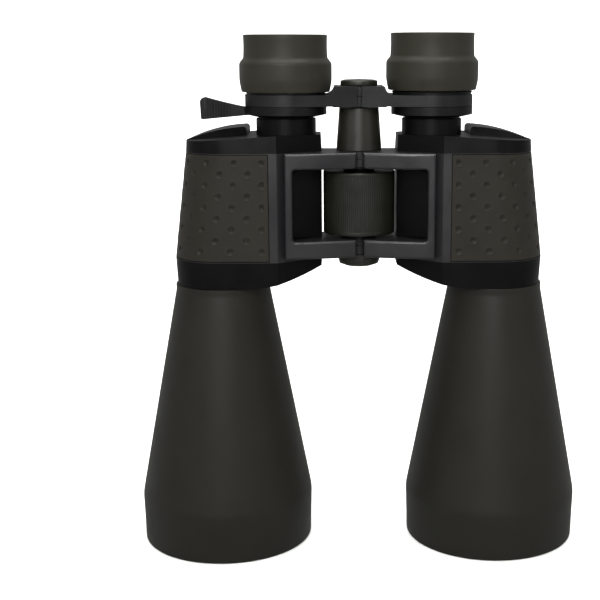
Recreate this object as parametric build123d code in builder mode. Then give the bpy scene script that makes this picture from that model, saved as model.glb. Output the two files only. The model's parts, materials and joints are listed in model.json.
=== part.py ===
from build123d import *
import math
import os

# Zoom astronomy binoculars with 80 mm objectives, standing upright on their objective hoods.
# +Z points from the hoods to the eyecups, +X from the left barrel to the right one, and -Y is
# the side that faces up in use. The hinge axis is X = 0, Y = 0. Every sided piece is drawn for
# the right barrel and mirrored for the left one.

# ---- Driving dimensions, mm ----------------------------------------------------------------
OBJECTIVE_X = 70.4          # hinge axis to objective axis
EYEPIECE_X = 36.8           # hinge axis to eyepiece axis, fully opened

HOOD_R = 44.3               # rim of the objective hood
BARREL_MAX_R = 45.0         # widest point of the barrel, where the hood starts
HOOD_LENGTH = 25.0
NECK_R = 24.2               # barrel where it meets the prism housing
NECK_Z = 134.5
BARREL_SKIN = 1.8           # rubber on the barrel
HOOD_BORE_R = 41.2          # takes a push-in cap
HOOD_BORE_TOP = 12.6
LENS_BORE_R = 40.7          # lens seat, above the hood bore
LENS_R = 40.6
CLEAR_R = 40.0              # half of the 80 mm clear aperture
LENS_SEAT_Z = 27.0

HOUSING_BOTTOM = 151.5      # prism housing, objective end
HOUSING_TOP = 205.7         # prism housing, eyepiece end
COVER_BOTTOM = 138.0        # lower cover
SHELF_TOP = 186.0           # prism shelf, carries the upper prism
SHELF_THICKNESS = 2.0
ARMOUR_THICKNESS = 1.6      # rubber on the housing
WALL = 2.0                  # housing wall

FRONT_Y = -24.5             # front face of the housing
CORNER_X = 41.0             # front face ends, inner face starts
GRIP_SEAM_X = 45.0          # front edge of the rubber grip

FRAME_X = (33.3, 37.2)      # upright of the window frame
FRAME_Y = -26.0
LOWER_ARM = (153.3, 162.1)  # hinge arms, bottom and top
UPPER_ARM = (197.7, 205.7)
FRAME_EDGE_R = 1.2          # rounding of the frame's front edges
WINDOW_CORNER_R = 1.5       # rounding of the window's inner corners
ARM_FRONT_Y = -20.0         # everything of the arms' front face lies before this
SLOT_X = 1.9                # half of the front slot between the two halves of the hinge
KNUCKLE_R = 9.5
SHROUD_R = 9.8
ARM_BACK_ANGLE = 50.0       # back end of the arm, seen from the hinge axis

COVER_WALL = 1.6
COVER_SCREW_R = 1.2
UPPER_SCREWS = ((24.0, 12.5), (75.0, 17.0))     # in plan, behind the eyepiece
LOWER_SCREWS = ((24.0, 12.5), (50.0, 27.5))     # in plan, behind the objective tube
SCREW_BOSS_R = 3.0

SHAFT_R = 6.5               # hinge axle and hinge tube
SPINDLE_R = 4.4             # focus spindle
SCREW_R = 3.0               # focus screw
RUNNING = 0.05              # radial clearance of a turning fit
SOCKET_R = 2.6              # 1/4"-20 tripod socket, minor radius
SOCKET_DEPTH = 11.0
BOSS_R = 8.0                # boss round the tripod socket
BOSS_BOTTOM = 147.6

WHEEL_R = 18.3
WHEEL_CORE_R = 16.6
WHEEL_Z = (163.5, 195.4)

PRISM_SHIFT = 23.76         # sideways shift of each prism
PRISM_HALF_WIDTH = 9.5
PRISM_HEIGHT = 22.2         # hypotenuse to the trimmed ridge

GUIDE_R = 15.05
OCULAR_R = 13.45
OCULAR_BORE_R = 12.2
OCULAR_BOTTOM = 207.5
ZOOM_RING_R = 20.5
ZOOM_RING_Z = (222.5, 227.8)
BRIDGE_Z = (228.0, 233.5)
HUB_Z = (227.6, 237.7)
HUB_RING_R = 8.2
HUB_SHROUD_R = 8.5
HUB_HALF_WIDTH = 12.5
HEAD_Z = (234.6, 250.2)
HEAD_R = 20.3
EYECUP_TOP = 262.8
DIOPTRE_LIFT = 1.0          # the right eyepiece stands turned out this far

SIDES = ("left", "right")


# ---- Helpers -------------------------------------------------------------------------------
def save(builder, name):
    """Label a finished piece and write it to its own STEP file."""
    builder.part.label = name
    export_step(builder.part, f"parts/{name}.step")


def to_side(side):
    """Mirror the piece under construction when it belongs to the left barrel."""
    if side == "left":
        mirror(about=Plane.YZ, mode=Mode.REPLACE)


def polar(radius, degrees):
    """Point at a radius and an angle from +X, seen from above."""
    angle = math.radians(degrees)
    return radius * math.cos(angle), radius * math.sin(angle)


def between(low, high, share):
    """Value a given share of the way from low to high."""
    return low + (high - low) * share


def turned(axis_x, *points):
    """Solid turned from a closed outline of (radius, height) points round a vertical axis."""
    profile_plane = Plane(origin=(axis_x, 0, 0), x_dir=(1, 0, 0), z_dir=(0, -1, 0))
    with BuildPart() as body:
        with BuildSketch(profile_plane):
            with BuildLine():
                Polyline(*points, close=True)
            make_face()
        revolve(axis=Axis((axis_x, 0, 0), (0, 0, 1)))
    return body.part


def dome_arc(apex_z, edge_r, edge_z, from_edge=False):
    """Arc of a lens surface between its apex on the axis and its edge."""
    sag = edge_z - apex_z
    radius = (edge_r**2 + sag**2) / (2 * abs(sag))
    half_angle = math.asin(edge_r / radius) / 2
    rise = radius * (1 - math.cos(half_angle))
    middle = (radius * math.sin(half_angle), apex_z + math.copysign(rise, sag))
    ends = [(0, apex_z), (edge_r, edge_z)]
    if from_edge:
        ends.reverse()
    return ThreePointArc(ends[0], middle, ends[1])


def turned_lens(axis_x, front, back, edge_steps=()):
    """Lens round a vertical axis.

    front and back are (apex height, edge radius, edge height) of the lower and the upper
    surface; edge_steps are extra rim points between the two edges.
    """
    with BuildPart() as lens:
        with BuildSketch(Plane(origin=(axis_x, 0, 0), x_dir=(1, 0, 0), z_dir=(0, -1, 0))):
            with BuildLine():
                dome_arc(*front)
                Polyline((front[1], front[2]), *edge_steps, (back[1], back[2]))
                dome_arc(*back, from_edge=True)
                Line((0, back[0]), (0, front[0]))
            make_face()
        revolve(axis=Axis((axis_x, 0, 0), (0, 0, 1)))
    return lens.part


def ring(axis_x, inner, outer, bottom, top):
    """Straight ring, or a disc when the inner radius is 0, round a vertical axis."""
    with BuildPart() as body:
        with BuildSketch(Plane.XY.offset(bottom)):
            with Locations((axis_x, 0)):
                Circle(outer)
                if inner > 0:
                    Circle(inner, mode=Mode.SUBTRACT)
        extrude(amount=top - bottom)
    return body.part


def slab(plan, bottom, top):
    """Plan sketch raised between two heights."""
    with BuildPart() as body:
        with BuildSketch(Plane.XY.offset(bottom)):
            add(plan)
        extrude(amount=top - bottom)
    return body.part


def side_slab(outline, half_depth=60.0):
    """Front-view outline, x and height, carried through the whole depth."""
    with BuildPart() as body:
        with BuildSketch(Plane.XZ):
            add(outline)
        extrude(amount=half_depth, both=True)
    return body.part


def outline_of(*points):
    """Closed straight-sided sketch."""
    with BuildSketch() as sketch:
        with BuildLine():
            Polyline(*points, close=True)
        make_face()
    return sketch.sketch


# ---- Housing plan --------------------------------------------------------------------------
def housing_plan(share, inset=0.0):
    """Plan of the right housing, 0 at its bottom and 1 at its top.

    The outer nose is an arc round the objective axis, the back is a wider arc round the upper
    prism, and the inner side steps in round the eyepiece tube and leaves room for the wheel.
    """
    outer_x = between(94.2, 87.2, share)
    nose_r = between(23.8, 21.0, share)
    back_r = between(33.0, 30.5, share)
    nose = (outer_x - nose_r, FRONT_Y + nose_r)
    back = (outer_x - back_r, 0.5)
    with BuildSketch() as plan:
        with BuildLine():
            Line((CORNER_X, FRONT_Y), (nose[0], FRONT_Y))
            CenterArc(nose, nose_r, 270, 90)
            Line((outer_x, nose[1]), (outer_x, back[1]))
            CenterArc(back, back_r, 0, 90)
            Polyline(
                (back[0], back[1] + back_r),
                (44.0, back[1] + back_r),
                (19.0, 13.0),
                (19.0, -8.0),
                (CORNER_X, FRONT_Y),
            )
        make_face()
        if inset:
            offset(amount=-inset, kind=Kind.INTERSECTION, mode=Mode.REPLACE)
    return plan.sketch


def housing_block(inset=0.0):
    """Tapered block between the bottom and the top plan."""
    with BuildPart() as block:
        with BuildSketch(Plane.XY.offset(HOUSING_BOTTOM)):
            add(housing_plan(0, inset))
        with BuildSketch(Plane.XY.offset(HOUSING_TOP)):
            add(housing_plan(1, inset))
        loft(ruled=True)
    return block.part


def grip_zone():
    """Block that holds everything the rubber grip covers: all outside the front seam."""
    plan = outline_of((GRIP_SEAM_X, -40), (120, -40), (120, 60), (GRIP_SEAM_X, 60))
    return slab(plan, HOUSING_BOTTOM + 0.3, HOUSING_TOP - 0.3)


def screw_set(places, radius, bottom, top):
    """Upright cylinders at a cover's two screws: shanks, holes or bosses."""
    with BuildPart() as body:
        with BuildSketch(Plane.XY.offset(bottom)):
            with Locations(*places):
                Circle(radius)
        extrude(amount=top - bottom)
    return body.part


# ---- Prism housing with hinge arms ---------------------------------------------------------
def arm_plan():
    """Plan of a hinge arm: curved front, slot at the hinge, open back for folding."""
    with BuildSketch() as plan:
        with BuildLine():
            ThreePointArc((SLOT_X, -19.5), (18.5, -23.75), (FRAME_X[1], FRAME_Y))
            Polyline(
                (FRAME_X[1], FRAME_Y),
                (FRAME_X[1], -18.0),
                (26.0, 0.0),
                (20.5, 9.6),
                polar(12.5, ARM_BACK_ANGLE),
                polar(5.0, ARM_BACK_ANGLE),
                (SLOT_X, -3.0),
                (SLOT_X, -19.5),
            )
        make_face()
    return plan.sketch


def window_frame(ring_low):
    """Upright and both hinge arms in one moulding with rounded front and window edges.

    In each arm the knuckle ring fills one half of the height and a shroud the other.
    """
    window = outline_of((-5, -40), (FRAME_X[0], -40), (FRAME_X[0], 20), (-5, 20))
    with BuildPart() as frame:
        add(slab(arm_plan(), LOWER_ARM[0], UPPER_ARM[1]))
        add(slab(window, LOWER_ARM[1], UPPER_ARM[0]), mode=Mode.SUBTRACT)
        side_face = frame.faces().filter_by(Axis.X).filter_by(lambda f: f.center().X > SLOT_X + 1)
        inner_side = side_face.sort_by(Axis.X)[0]
        fillet(inner_side.edges().filter_by(Axis.Y), radius=WINDOW_CORNER_R)
        front = frame.faces().filter_by(lambda f: f.center().Y < ARM_FRONT_Y).sort_by(SortBy.AREA)[-1]
        fillet(front.edges(), radius=FRAME_EDGE_R)
        for bottom, top in (LOWER_ARM, UPPER_ARM):
            middle = (bottom + top) / 2
            ring_z = (bottom, middle - 0.1) if ring_low else (middle + 0.1, top)
            shroud_z = (middle - 0.1, top) if ring_low else (bottom, middle + 0.1)
            add(ring(0, 0, SHROUD_R, *shroud_z), mode=Mode.SUBTRACT)
            add(ring(0, 0, KNUCKLE_R, *ring_z))
            add(ring(0, 0, SHAFT_R + RUNNING, bottom, top), mode=Mode.SUBTRACT)
    return frame.part


def prism_housing(side):
    """Moulded housing: tapered walls, prism ledge, window frame and two hinge arms."""
    ledge_z = (SHELF_TOP - SHELF_THICKNESS - 2.0, SHELF_TOP - SHELF_THICKNESS)
    with BuildPart() as cavity:
        add(housing_block(ARMOUR_THICKNESS + WALL))
    with BuildPart() as ledge:
        add(housing_block(ARMOUR_THICKNESS + 0.5 * WALL))
        add(slab(outline_of((0, -60), (120, -60), (120, 60), (0, 60)), *ledge_z), mode=Mode.INTERSECT)
        add(housing_block(ARMOUR_THICKNESS + WALL + 1.2), mode=Mode.SUBTRACT)
    with BuildPart() as housing:
        add(housing_block())
        with BuildPart(mode=Mode.SUBTRACT):
            add(grip_zone())
            add(housing_block(ARMOUR_THICKNESS), mode=Mode.SUBTRACT)
        add(window_frame(ring_low=side == "left"))
        add(cavity.part, mode=Mode.SUBTRACT)
        add(ledge.part)
        add(screw_set(UPPER_SCREWS, SCREW_BOSS_R, 190.0, HOUSING_TOP))
        add(screw_set(UPPER_SCREWS, COVER_SCREW_R, 196.0, 206.0), mode=Mode.SUBTRACT)
        add(screw_set(LOWER_SCREWS, SCREW_BOSS_R, HOUSING_BOTTOM, 160.0))
        add(screw_set(LOWER_SCREWS, COVER_SCREW_R, 151.0, 158.0), mode=Mode.SUBTRACT)
        to_side(side)
    save(housing, f"{side}_prism_housing")


def grip_armour(side):
    """Moulded rubber panel from the front seam round the outside to the back."""
    with BuildPart() as armour:
        add(housing_block())
        add(grip_zone(), mode=Mode.INTERSECT)
        add(housing_block(ARMOUR_THICKNESS), mode=Mode.SUBTRACT)
        to_side(side)
    save(armour, f"{side}_grip_armour")


# ---- Covers --------------------------------------------------------------------------------
def upper_cover(side):
    """Eyepiece-end cover: sloping top, arched hump over the prism ridge, guide tube hole."""
    top_view = outline_of(
        (10, 200), (10, 213.7), (CORNER_X, 214.2), (87.2, 211.2), (100, 210.4), (100, 200)
    )
    with BuildSketch() as hump_view:
        with BuildLine():
            Line((57.0, 206), (57.0, 215.6))
            ThreePointArc((57.0, 215.6), (57.7, 216.8), (59.5, 217.1))
            ThreePointArc((59.5, 217.1), (73.0, 215.4), (86.5, 211.2))
            Polyline((86.5, 211.2), (90.0, 206), (57.0, 206))
        make_face()
    with BuildPart() as cover_block:
        with BuildSketch(Plane.XY.offset(HOUSING_TOP)):
            add(housing_plan(1))
        extrude(amount=14.0, taper=3)
    with BuildPart() as cover:
        add(cover_block.part)
        add(side_slab(top_view), mode=Mode.INTERSECT)
        with BuildPart():
            add(cover_block.part)
            add(side_slab(hump_view.sketch), mode=Mode.INTERSECT)
            with BuildPart(mode=Mode.INTERSECT):
                add(slab(outline_of((50, 4), (100, -10), (100, 60), (50, 60)), 200, 230))
        add(slab(housing_plan(1, COVER_WALL), HOUSING_TOP, 209.2), mode=Mode.SUBTRACT)
        add(screw_set(UPPER_SCREWS, COVER_SCREW_R, 204.0, 220.0), mode=Mode.SUBTRACT)
        add(ring(EYEPIECE_X, 0, GUIDE_R, 205, 230), mode=Mode.SUBTRACT)
        to_side(side)
    save(cover, f"{side}_upper_cover")


def lower_cover(side):
    """Objective-end cover: boat-shaped underside and the seat of the objective tube."""
    with BuildSketch() as boat:
        with BuildLine():
            Polyline((100, 160), (100, COVER_BOTTOM), (54.0, COVER_BOTTOM))
            ThreePointArc((54.0, COVER_BOTTOM), (35.0, 141.6), (17.0, 148.6))
            Polyline((17.0, 148.6), (10, 152), (10, 160), (100, 160))
        make_face()
    with BuildPart() as cover:
        with BuildSketch(Plane.XY.offset(HOUSING_BOTTOM)):
            add(housing_plan(0))
        extrude(amount=-16.0, taper=3)
        add(side_slab(boat.sketch), mode=Mode.INTERSECT)
        with BuildPart(mode=Mode.SUBTRACT):
            add(slab(housing_plan(0, 2.6), 143.5, HOUSING_BOTTOM))
            add(slab(outline_of((46, -60), (120, -60), (120, 60), (46, 60)), 140, 152), mode=Mode.INTERSECT)
        add(ring(OBJECTIVE_X, 0, 20.0, 130, 152), mode=Mode.SUBTRACT)
        add(screw_set(LOWER_SCREWS, COVER_SCREW_R, 130.0, 152.0), mode=Mode.SUBTRACT)
        to_side(side)
    save(cover, f"{side}_lower_cover")


# ---- Objective barrel ----------------------------------------------------------------------
def objective_barrel(side):
    """Rubber armour, metal tube, cemented doublet and its retaining ring."""
    x = OBJECTIVE_X
    skin = BARREL_SKIN
    with BuildPart() as armour:
        add(turned(
            x,
            (HOOD_BORE_R, 0.0), (HOOD_R, 0.0), (BARREL_MAX_R, HOOD_LENGTH), (NECK_R, NECK_Z),
            (NECK_R, 137.6), (NECK_R - skin, 137.6), (NECK_R - skin, NECK_Z),
            (BARREL_MAX_R - skin, HOOD_LENGTH), (HOOD_R - skin + 0.1, 3.0), (HOOD_BORE_R, 3.0),
        ))
        fillet(armour.edges().group_by(Axis.Z)[0], radius=1.1)
        to_side(side)
    save(armour, f"{side}_objective_armour")
    with BuildPart() as tube:
        add(turned(
            x,
            (HOOD_BORE_R, 3.0), (HOOD_R - skin + 0.1, 3.0), (BARREL_MAX_R - skin, HOOD_LENGTH),
            (NECK_R - skin, NECK_Z), (NECK_R - skin, COVER_BOTTOM), (20.0, COVER_BOTTOM),
            (20.0, 150.0), (18.4, 150.0), (18.4, 138.0), (20.2, NECK_Z),
            (38.8, 36.0), (38.8, LENS_SEAT_Z), (LENS_BORE_R, LENS_SEAT_Z),
            (LENS_BORE_R, HOOD_BORE_TOP), (HOOD_BORE_R, HOOD_BORE_TOP),
        ))
        to_side(side)
    save(tube, f"{side}_objective_tube")
    with BuildPart() as crown:
        add(turned_lens(x, (13.6, LENS_R, 18.0), (24.9, LENS_R, 20.5)))
        to_side(side)
    save(crown, f"{side}_crown_lens")
    with BuildPart() as flint:
        flat_rim = (LENS_R, LENS_SEAT_Z)
        add(turned_lens(x, (24.9, LENS_R, 20.5), (27.8, 38.6, LENS_SEAT_Z), (flat_rim,)))
        to_side(side)
    save(flint, f"{side}_flint_lens")
    with BuildPart() as lens_ring:
        add(turned(
            x, (CLEAR_R, 17.6), (CLEAR_R, 15.2), (CLEAR_R + 0.4, 14.4), (LENS_BORE_R, 14.4),
            (LENS_BORE_R, 17.6),
        ))
        to_side(side)
    save(lens_ring, f"{side}_lens_ring")


# ---- Porro prisms --------------------------------------------------------------------------
def prism_frame(entry, leaving, height, up):
    """Plane of a prism's triangle: x along its hypotenuse, y towards its ridge."""
    middle = ((entry[0] + leaving[0]) / 2, (entry[1] + leaving[1]) / 2, height)
    along = Vector(leaving[0] - entry[0], leaving[1] - entry[1], 0).normalized()
    ridge = Vector(0, 0, 1 if up else -1)
    return Plane(origin=middle, x_dir=along, z_dir=along.cross(ridge))


def prism_set(side):
    """Two crossed Porro prisms, the shelf between them and the two spring straps."""
    middle = (EYEPIECE_X + OBJECTIVE_X) / 2
    turn = (middle, (OBJECTIVE_X - EYEPIECE_X) / 2)
    layout = {
        "upper_prism": ((OBJECTIVE_X, 0), turn, SHELF_TOP, True),
        "lower_prism": (turn, (EYEPIECE_X, 0), SHELF_TOP - SHELF_THICKNESS, False),
    }
    strap_parts = []
    for name, (entry, leaving, height, up) in layout.items():
        frame = prism_frame(entry, leaving, height, up)
        half = PRISM_SHIFT
        flat = half - PRISM_HEIGHT
        end = PRISM_SHIFT / 2 + PRISM_HALF_WIDTH
        with BuildPart() as prism:
            with BuildSketch(frame):
                with BuildLine():
                    Polyline(
                        (-end, 0), (end, 0), (end, half - end), (flat, PRISM_HEIGHT),
                        (-flat, PRISM_HEIGHT), (-end, half - end), close=True,
                    )
                make_face()
            extrude(amount=PRISM_HALF_WIDTH, both=True)
            with BuildSketch(Plane(origin=frame.origin, x_dir=frame.x_dir, z_dir=(0, 0, 1))):
                SlotCenterToCenter(PRISM_SHIFT, 2 * PRISM_HALF_WIDTH)
            extrude(amount=PRISM_SHIFT, both=True, mode=Mode.INTERSECT)
            to_side(side)
        save(prism, f"{side}_{name}")
        strap_plane = Plane(origin=frame.origin, x_dir=frame.z_dir, z_dir=frame.x_dir)
        sign = 1 if strap_plane.y_dir.Z * (1 if up else -1) > 0 else -1
        with BuildPart() as strap:
            outer_half = PRISM_HALF_WIDTH + 0.7
            outer_height = PRISM_HEIGHT + 0.7
            with BuildSketch(strap_plane):
                with Locations((0, sign * outer_height / 2)):
                    Rectangle(2 * outer_half, outer_height)
                with Locations((0, sign * PRISM_HEIGHT / 2)):
                    Rectangle(2 * PRISM_HALF_WIDTH, PRISM_HEIGHT, mode=Mode.SUBTRACT)
            extrude(amount=1.4, both=True)
        strap_parts.append(strap.part)
    with BuildPart() as straps:
        for part in strap_parts:
            add(part)
        to_side(side)
    save(straps, f"{side}_prism_straps")
    shelf_share = (SHELF_TOP - SHELF_THICKNESS - HOUSING_BOTTOM) / (HOUSING_TOP - HOUSING_BOTTOM)
    with BuildPart() as shelf:
        plan = housing_plan(shelf_share + 0.04, ARMOUR_THICKNESS + WALL + 0.15)
        add(slab(plan, SHELF_TOP - SHELF_THICKNESS, SHELF_TOP))
        with BuildSketch(Plane.XY.offset(SHELF_TOP)):
            with Locations((OBJECTIVE_X, 0), turn, (EYEPIECE_X, 0)):
                Circle(8.6)
        extrude(amount=-SHELF_THICKNESS, mode=Mode.SUBTRACT)
        to_side(side)
    save(shelf, f"{side}_prism_shelf")


def cover_screws(side):
    """Two small screws through the back of each cover into the housing's bosses."""
    with BuildPart() as screws:
        add(screw_set(UPPER_SCREWS, COVER_SCREW_R, 196.0, 211.0))
        add(screw_set(LOWER_SCREWS, COVER_SCREW_R, 148.5, 158.0))
        to_side(side)
    save(screws, f"{side}_cover_screws")


# ---- Eyepiece ------------------------------------------------------------------------------
def eyepiece(side):
    """Guide tube, ocular tube, zoom ring and cam, lens cells, head, eye lens and eyecup."""
    x = EYEPIECE_X
    lift = DIOPTRE_LIFT if side == "right" else 0.0
    with BuildPart() as guide:
        add(turned(
            x, (OCULAR_R + RUNNING, 206.4), (15.3, 206.4), (15.3, 209.2), (GUIDE_R, 209.2),
            (GUIDE_R, 221.4), (GUIDE_R - 0.4, 221.8), (OCULAR_R + RUNNING, 221.8),
        ))
        to_side(side)
    save(guide, f"{side}_guide_tube")
    with BuildPart() as ocular:
        add(turned(
            x, (OCULAR_BORE_R, OCULAR_BOTTOM), (OCULAR_R, OCULAR_BOTTOM), (OCULAR_R, BRIDGE_Z[1]),
            (19.8, BRIDGE_Z[1]), (19.8, HEAD_Z[0]), (14.5, HEAD_Z[0]), (14.5, 242.0),
            (OCULAR_BORE_R, 242.0),
        ))
        with BuildPart(mode=Mode.SUBTRACT):
            add(ring(x, OCULAR_BORE_R - 1, OCULAR_R + 0.5, 223.8, 226.2))
            with BuildPart(mode=Mode.INTERSECT):
                sector = outline_of((x, 0), (x + 40, -42), (x + 40, 42))
                add(slab(sector, 220, 230))
        to_side(side)
    save(ocular, f"{side}_ocular_tube")
    with BuildPart() as zoom_ring:
        add(turned(
            x, (OCULAR_R + 0.3, ZOOM_RING_Z[0]), (15.4, ZOOM_RING_Z[0]), (ZOOM_RING_R, 223.7),
            (ZOOM_RING_R, ZOOM_RING_Z[1]), (OCULAR_R + 0.3, ZOOM_RING_Z[1]),
        ))
        with Locations(Plane(origin=(x + 12.3, 0, 225.0), z_dir=(1, 0, 0))):
            Cylinder(0.9, 2.4, align=(Align.CENTER, Align.CENTER, Align.MIN))
        if side == "left":
            add(zoom_lever())
        to_side(side)
    save(zoom_ring, f"{side}_zoom_ring")
    with BuildPart() as cam:
        add(ring(x, 11.2, OCULAR_BORE_R - RUNNING, 211.0, 240.0))
        to_side(side)
    save(cam, f"{side}_zoom_cam")
    for name, bottom in (("field_cell", 214.0), ("zoom_cell", 229.5)):
        with BuildPart() as cell:
            add(turned(
                x, (0, bottom + 0.6), (9.0, bottom + 1.6), (9.4, bottom), (11.15, bottom),
                (11.15, bottom + 6.0), (9.4, bottom + 6.0), (9.0, bottom + 4.4),
                (0, bottom + 5.4),
            ))
            to_side(side)
        save(cell, f"{side}_{name}")
    with BuildPart() as head:
        add(turned(
            x, (14.6, HEAD_Z[0] + 0.1 + lift), (HEAD_R, HEAD_Z[0] + 0.1 + lift),
            (HEAD_R, HEAD_Z[1] + lift), (17.0, HEAD_Z[1] + lift), (12.6, 248.0 + lift),
            (12.6, 244.2 + lift), (10.6, 244.2 + lift), (10.6, 243.2 + lift),
            (14.6, 243.2 + lift),
        ))
        to_side(side)
    save(head, f"{side}_eyepiece_head")
    with BuildPart() as eye_lens:
        add(turned_lens(x, (244.6 + lift, 12.6, 244.2 + lift), (248.6 + lift, 12.6, 246.2 + lift)))
        to_side(side)
    save(eye_lens, f"{side}_eye_lens")
    with BuildPart() as eyecup:
        cup_r = HEAD_R + (RUNNING if side == "right" else 0.0)
        add(turned(
            x, (cup_r, 234.6 + lift), (22.1, 234.6 + lift), (23.2, 240.0 + lift),
            (23.2, 248.9 + lift), (21.1, 251.4 + lift), (20.8, 257.0 + lift),
            (21.0, EYECUP_TOP + lift), (19.4, EYECUP_TOP + lift), (19.0, 257.0 + lift),
            (19.0, 251.4 + lift), (17.2, 251.2 + lift), (17.2, HEAD_Z[1] + 0.1 + lift),
            (cup_r, HEAD_Z[1] + 0.1 + lift),
        ))
        fillet(eyecup.edges().group_by(Axis.Z)[-1], radius=0.7)
        to_side(side)
    save(eyecup, f"{side}_eyecup")


def zoom_lever():
    """Flat ribbed paddle on the outer side of the zoom ring."""
    x = EYEPIECE_X
    with BuildSketch() as paddle:
        with BuildLine():
            Polyline((x + 17.0, 227.5), (x + 21.5, 227.5))
            ThreePointArc((x + 21.5, 227.5), (x + 32.0, 229.9), (x + 39.5, 231.9))
            ThreePointArc((x + 39.5, 231.9), (x + 42.3, 231.4), (x + 43.0, 229.6))
            Polyline((x + 43.0, 229.6), (x + 42.7, 221.6))
            Polyline((x + 42.7, 221.6), (x + 41.8, 221.1), (x + 17.0, 223.4), (x + 17.0, 227.5))
        make_face()
    with BuildPart() as lever:
        with BuildSketch(Plane.XZ):
            add(paddle.sketch)
        extrude(amount=2.6, both=True)
        for index in range(10):
            rib_x = x + 28.6 + 1.35 * index
            for groove_y in (-2.6, 2.6):
                with Locations((rib_x, groove_y, 226.0)):
                    Box(0.6, 0.7, 13.0, mode=Mode.SUBTRACT)
    return lever.part


# ---- Bridge --------------------------------------------------------------------------------
def bridge_plan():
    """Plan of a bridge arm: eyepiece ring and hub joined by tangent sides."""
    with BuildSketch() as plan:
        with BuildSketch(mode=Mode.PRIVATE) as circles:
            with Locations((EYEPIECE_X, 0)):
                Circle(ZOOM_RING_R)
            Circle(HUB_HALF_WIDTH)
        make_hull(circles.sketch.edges())
        add(outline_of((1.2, -30), (1.2, -2), polar(2.4, 50), polar(40, 50), (-40, 40), (-40, -30)),
            mode=Mode.SUBTRACT)
    return plan.sketch


def bridge_arm(side):
    """Arm from the hub to the eyepiece, with a concave rise up to the hub."""
    middle = (HUB_Z[0] + HUB_Z[1]) / 2
    ring_low = side == "left"
    ring_z = (HUB_Z[0], middle - 0.1) if ring_low else (middle + 0.1, HUB_Z[1])
    shroud_z = (middle - 0.1, HUB_Z[1]) if ring_low else (HUB_Z[0], middle + 0.1)
    bore = SPINDLE_R if ring_low else SPINDLE_R + RUNNING
    with BuildSketch() as rise:
        with BuildLine():
            Polyline((-5, HUB_Z[0]), (13.0, HUB_Z[0]), (13.4, BRIDGE_Z[0]), (70, BRIDGE_Z[0]),
                     (70, BRIDGE_Z[1]), (16.8, BRIDGE_Z[1]))
            RadiusArc((16.8, BRIDGE_Z[1]), (12.6, HUB_Z[1] - 0.3), 4.6)
            Polyline((12.6, HUB_Z[1] - 0.3), (12.2, HUB_Z[1]), (-5, HUB_Z[1]), (-5, HUB_Z[0]))
        make_face()
    with BuildPart() as arm:
        add(slab(bridge_plan(), 220, 240))
        add(side_slab(rise.sketch), mode=Mode.INTERSECT)
        add(ring(0, 0, HUB_SHROUD_R, *shroud_z), mode=Mode.SUBTRACT)
        add(ring(0, 0, HUB_RING_R, *ring_z))
        add(ring(0, 0, bore, 220, 240), mode=Mode.SUBTRACT)
        add(ring(EYEPIECE_X, 0, OCULAR_R, 220, 240), mode=Mode.SUBTRACT)
        to_side(side)
    save(arm, f"{side}_bridge_arm")


# ---- Hinge and focus -----------------------------------------------------------------------
def hinge_and_focus():
    """Everything on the hinge axis: axle, tube, wheel, screw, spindle, sleeve and caps."""
    with BuildPart() as axle:
        add(turned(
            0, (0, BOSS_BOTTOM), (BOSS_R, BOSS_BOTTOM), (BOSS_R, 153.1), (SHAFT_R, 153.1),
            (SHAFT_R, 163.2), (3.5, 163.2), (3.5, 175.0), (0, 175.0),
        ))
        add(ring(0, 0, SOCKET_R, BOSS_BOTTOM, BOSS_BOTTOM + SOCKET_DEPTH), mode=Mode.SUBTRACT)
    save(axle, "hinge_axle")
    with BuildPart() as washer:
        add(ring(0, SHAFT_R, 9.0, 162.3, 163.2))
    save(washer, "hinge_washer")
    with BuildPart() as tube:
        add(ring(0, SPINDLE_R + RUNNING, SHAFT_R, 197.7, 222.0))
    save(tube, "hinge_tube")
    with BuildPart() as sleeve:
        add(turned(0, (SHAFT_R, 206.0), (11.5, 206.0), (10.0, 226.8), (SPINDLE_R + 0.3, 226.8),
                   (SPINDLE_R + 0.3, 222.0), (SHAFT_R, 222.0)))
    save(sleeve, "cone_sleeve")
    with BuildPart() as core:
        add(turned(
            0, (3.5 + RUNNING, WHEEL_Z[0]), (WHEEL_CORE_R, WHEEL_Z[0]), (WHEEL_CORE_R, WHEEL_Z[1]),
            (8.0, WHEEL_Z[1]), (8.0, 197.4), (SCREW_R, 197.4), (SCREW_R, 178.0), (0, 178.0),
            (0, 175.4), (3.5 + RUNNING, 175.4),
        ))
    save(core, "focus_wheel_core")
    with BuildPart() as grip:
        add(ring(0, WHEEL_CORE_R, WHEEL_R, *WHEEL_Z))
        fillet(grip.edges().filter_by(GeomType.CIRCLE).filter_by(lambda e: e.radius > 18), radius=0.6)
    save(grip, "focus_wheel_grip")
    with BuildPart() as screw:
        add(ring(0, 0, SCREW_R, 178.0, 231.0))
    save(screw, "focus_screw")
    with BuildPart() as spindle:
        add(ring(0, 0, SPINDLE_R, 199.0, HUB_Z[1]))
        add(ring(0, 0, SCREW_R + RUNNING, 199.0, 232.0), mode=Mode.SUBTRACT)
    save(spindle, "focus_spindle")
    with BuildPart() as cap:
        add(turned(0, (0, HUB_Z[1]), (9.2, HUB_Z[1]), (9.4, 238.2), (9.3, 240.2), (7.6, 240.8), (0, 241.1)))
    save(cap, "bridge_cap")
    with BuildPart() as tripod_cap:
        add(turned(
            0, (0, 147.3), (0, 145.9), (7.0, 146.4), (10.1, 147.6), (10.8, 150.0), (10.8, 152.9),
            (BOSS_R + 0.1, 152.9), (BOSS_R + 0.1, 147.3),
        ))
    save(tripod_cap, "tripod_cap")
    with BuildPart() as dioptre_ring:
        add(ring(EYEPIECE_X, 14.6, 20.3, HEAD_Z[0], HEAD_Z[0] + 0.5))
    save(dioptre_ring, "right_dioptre_ring")


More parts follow.
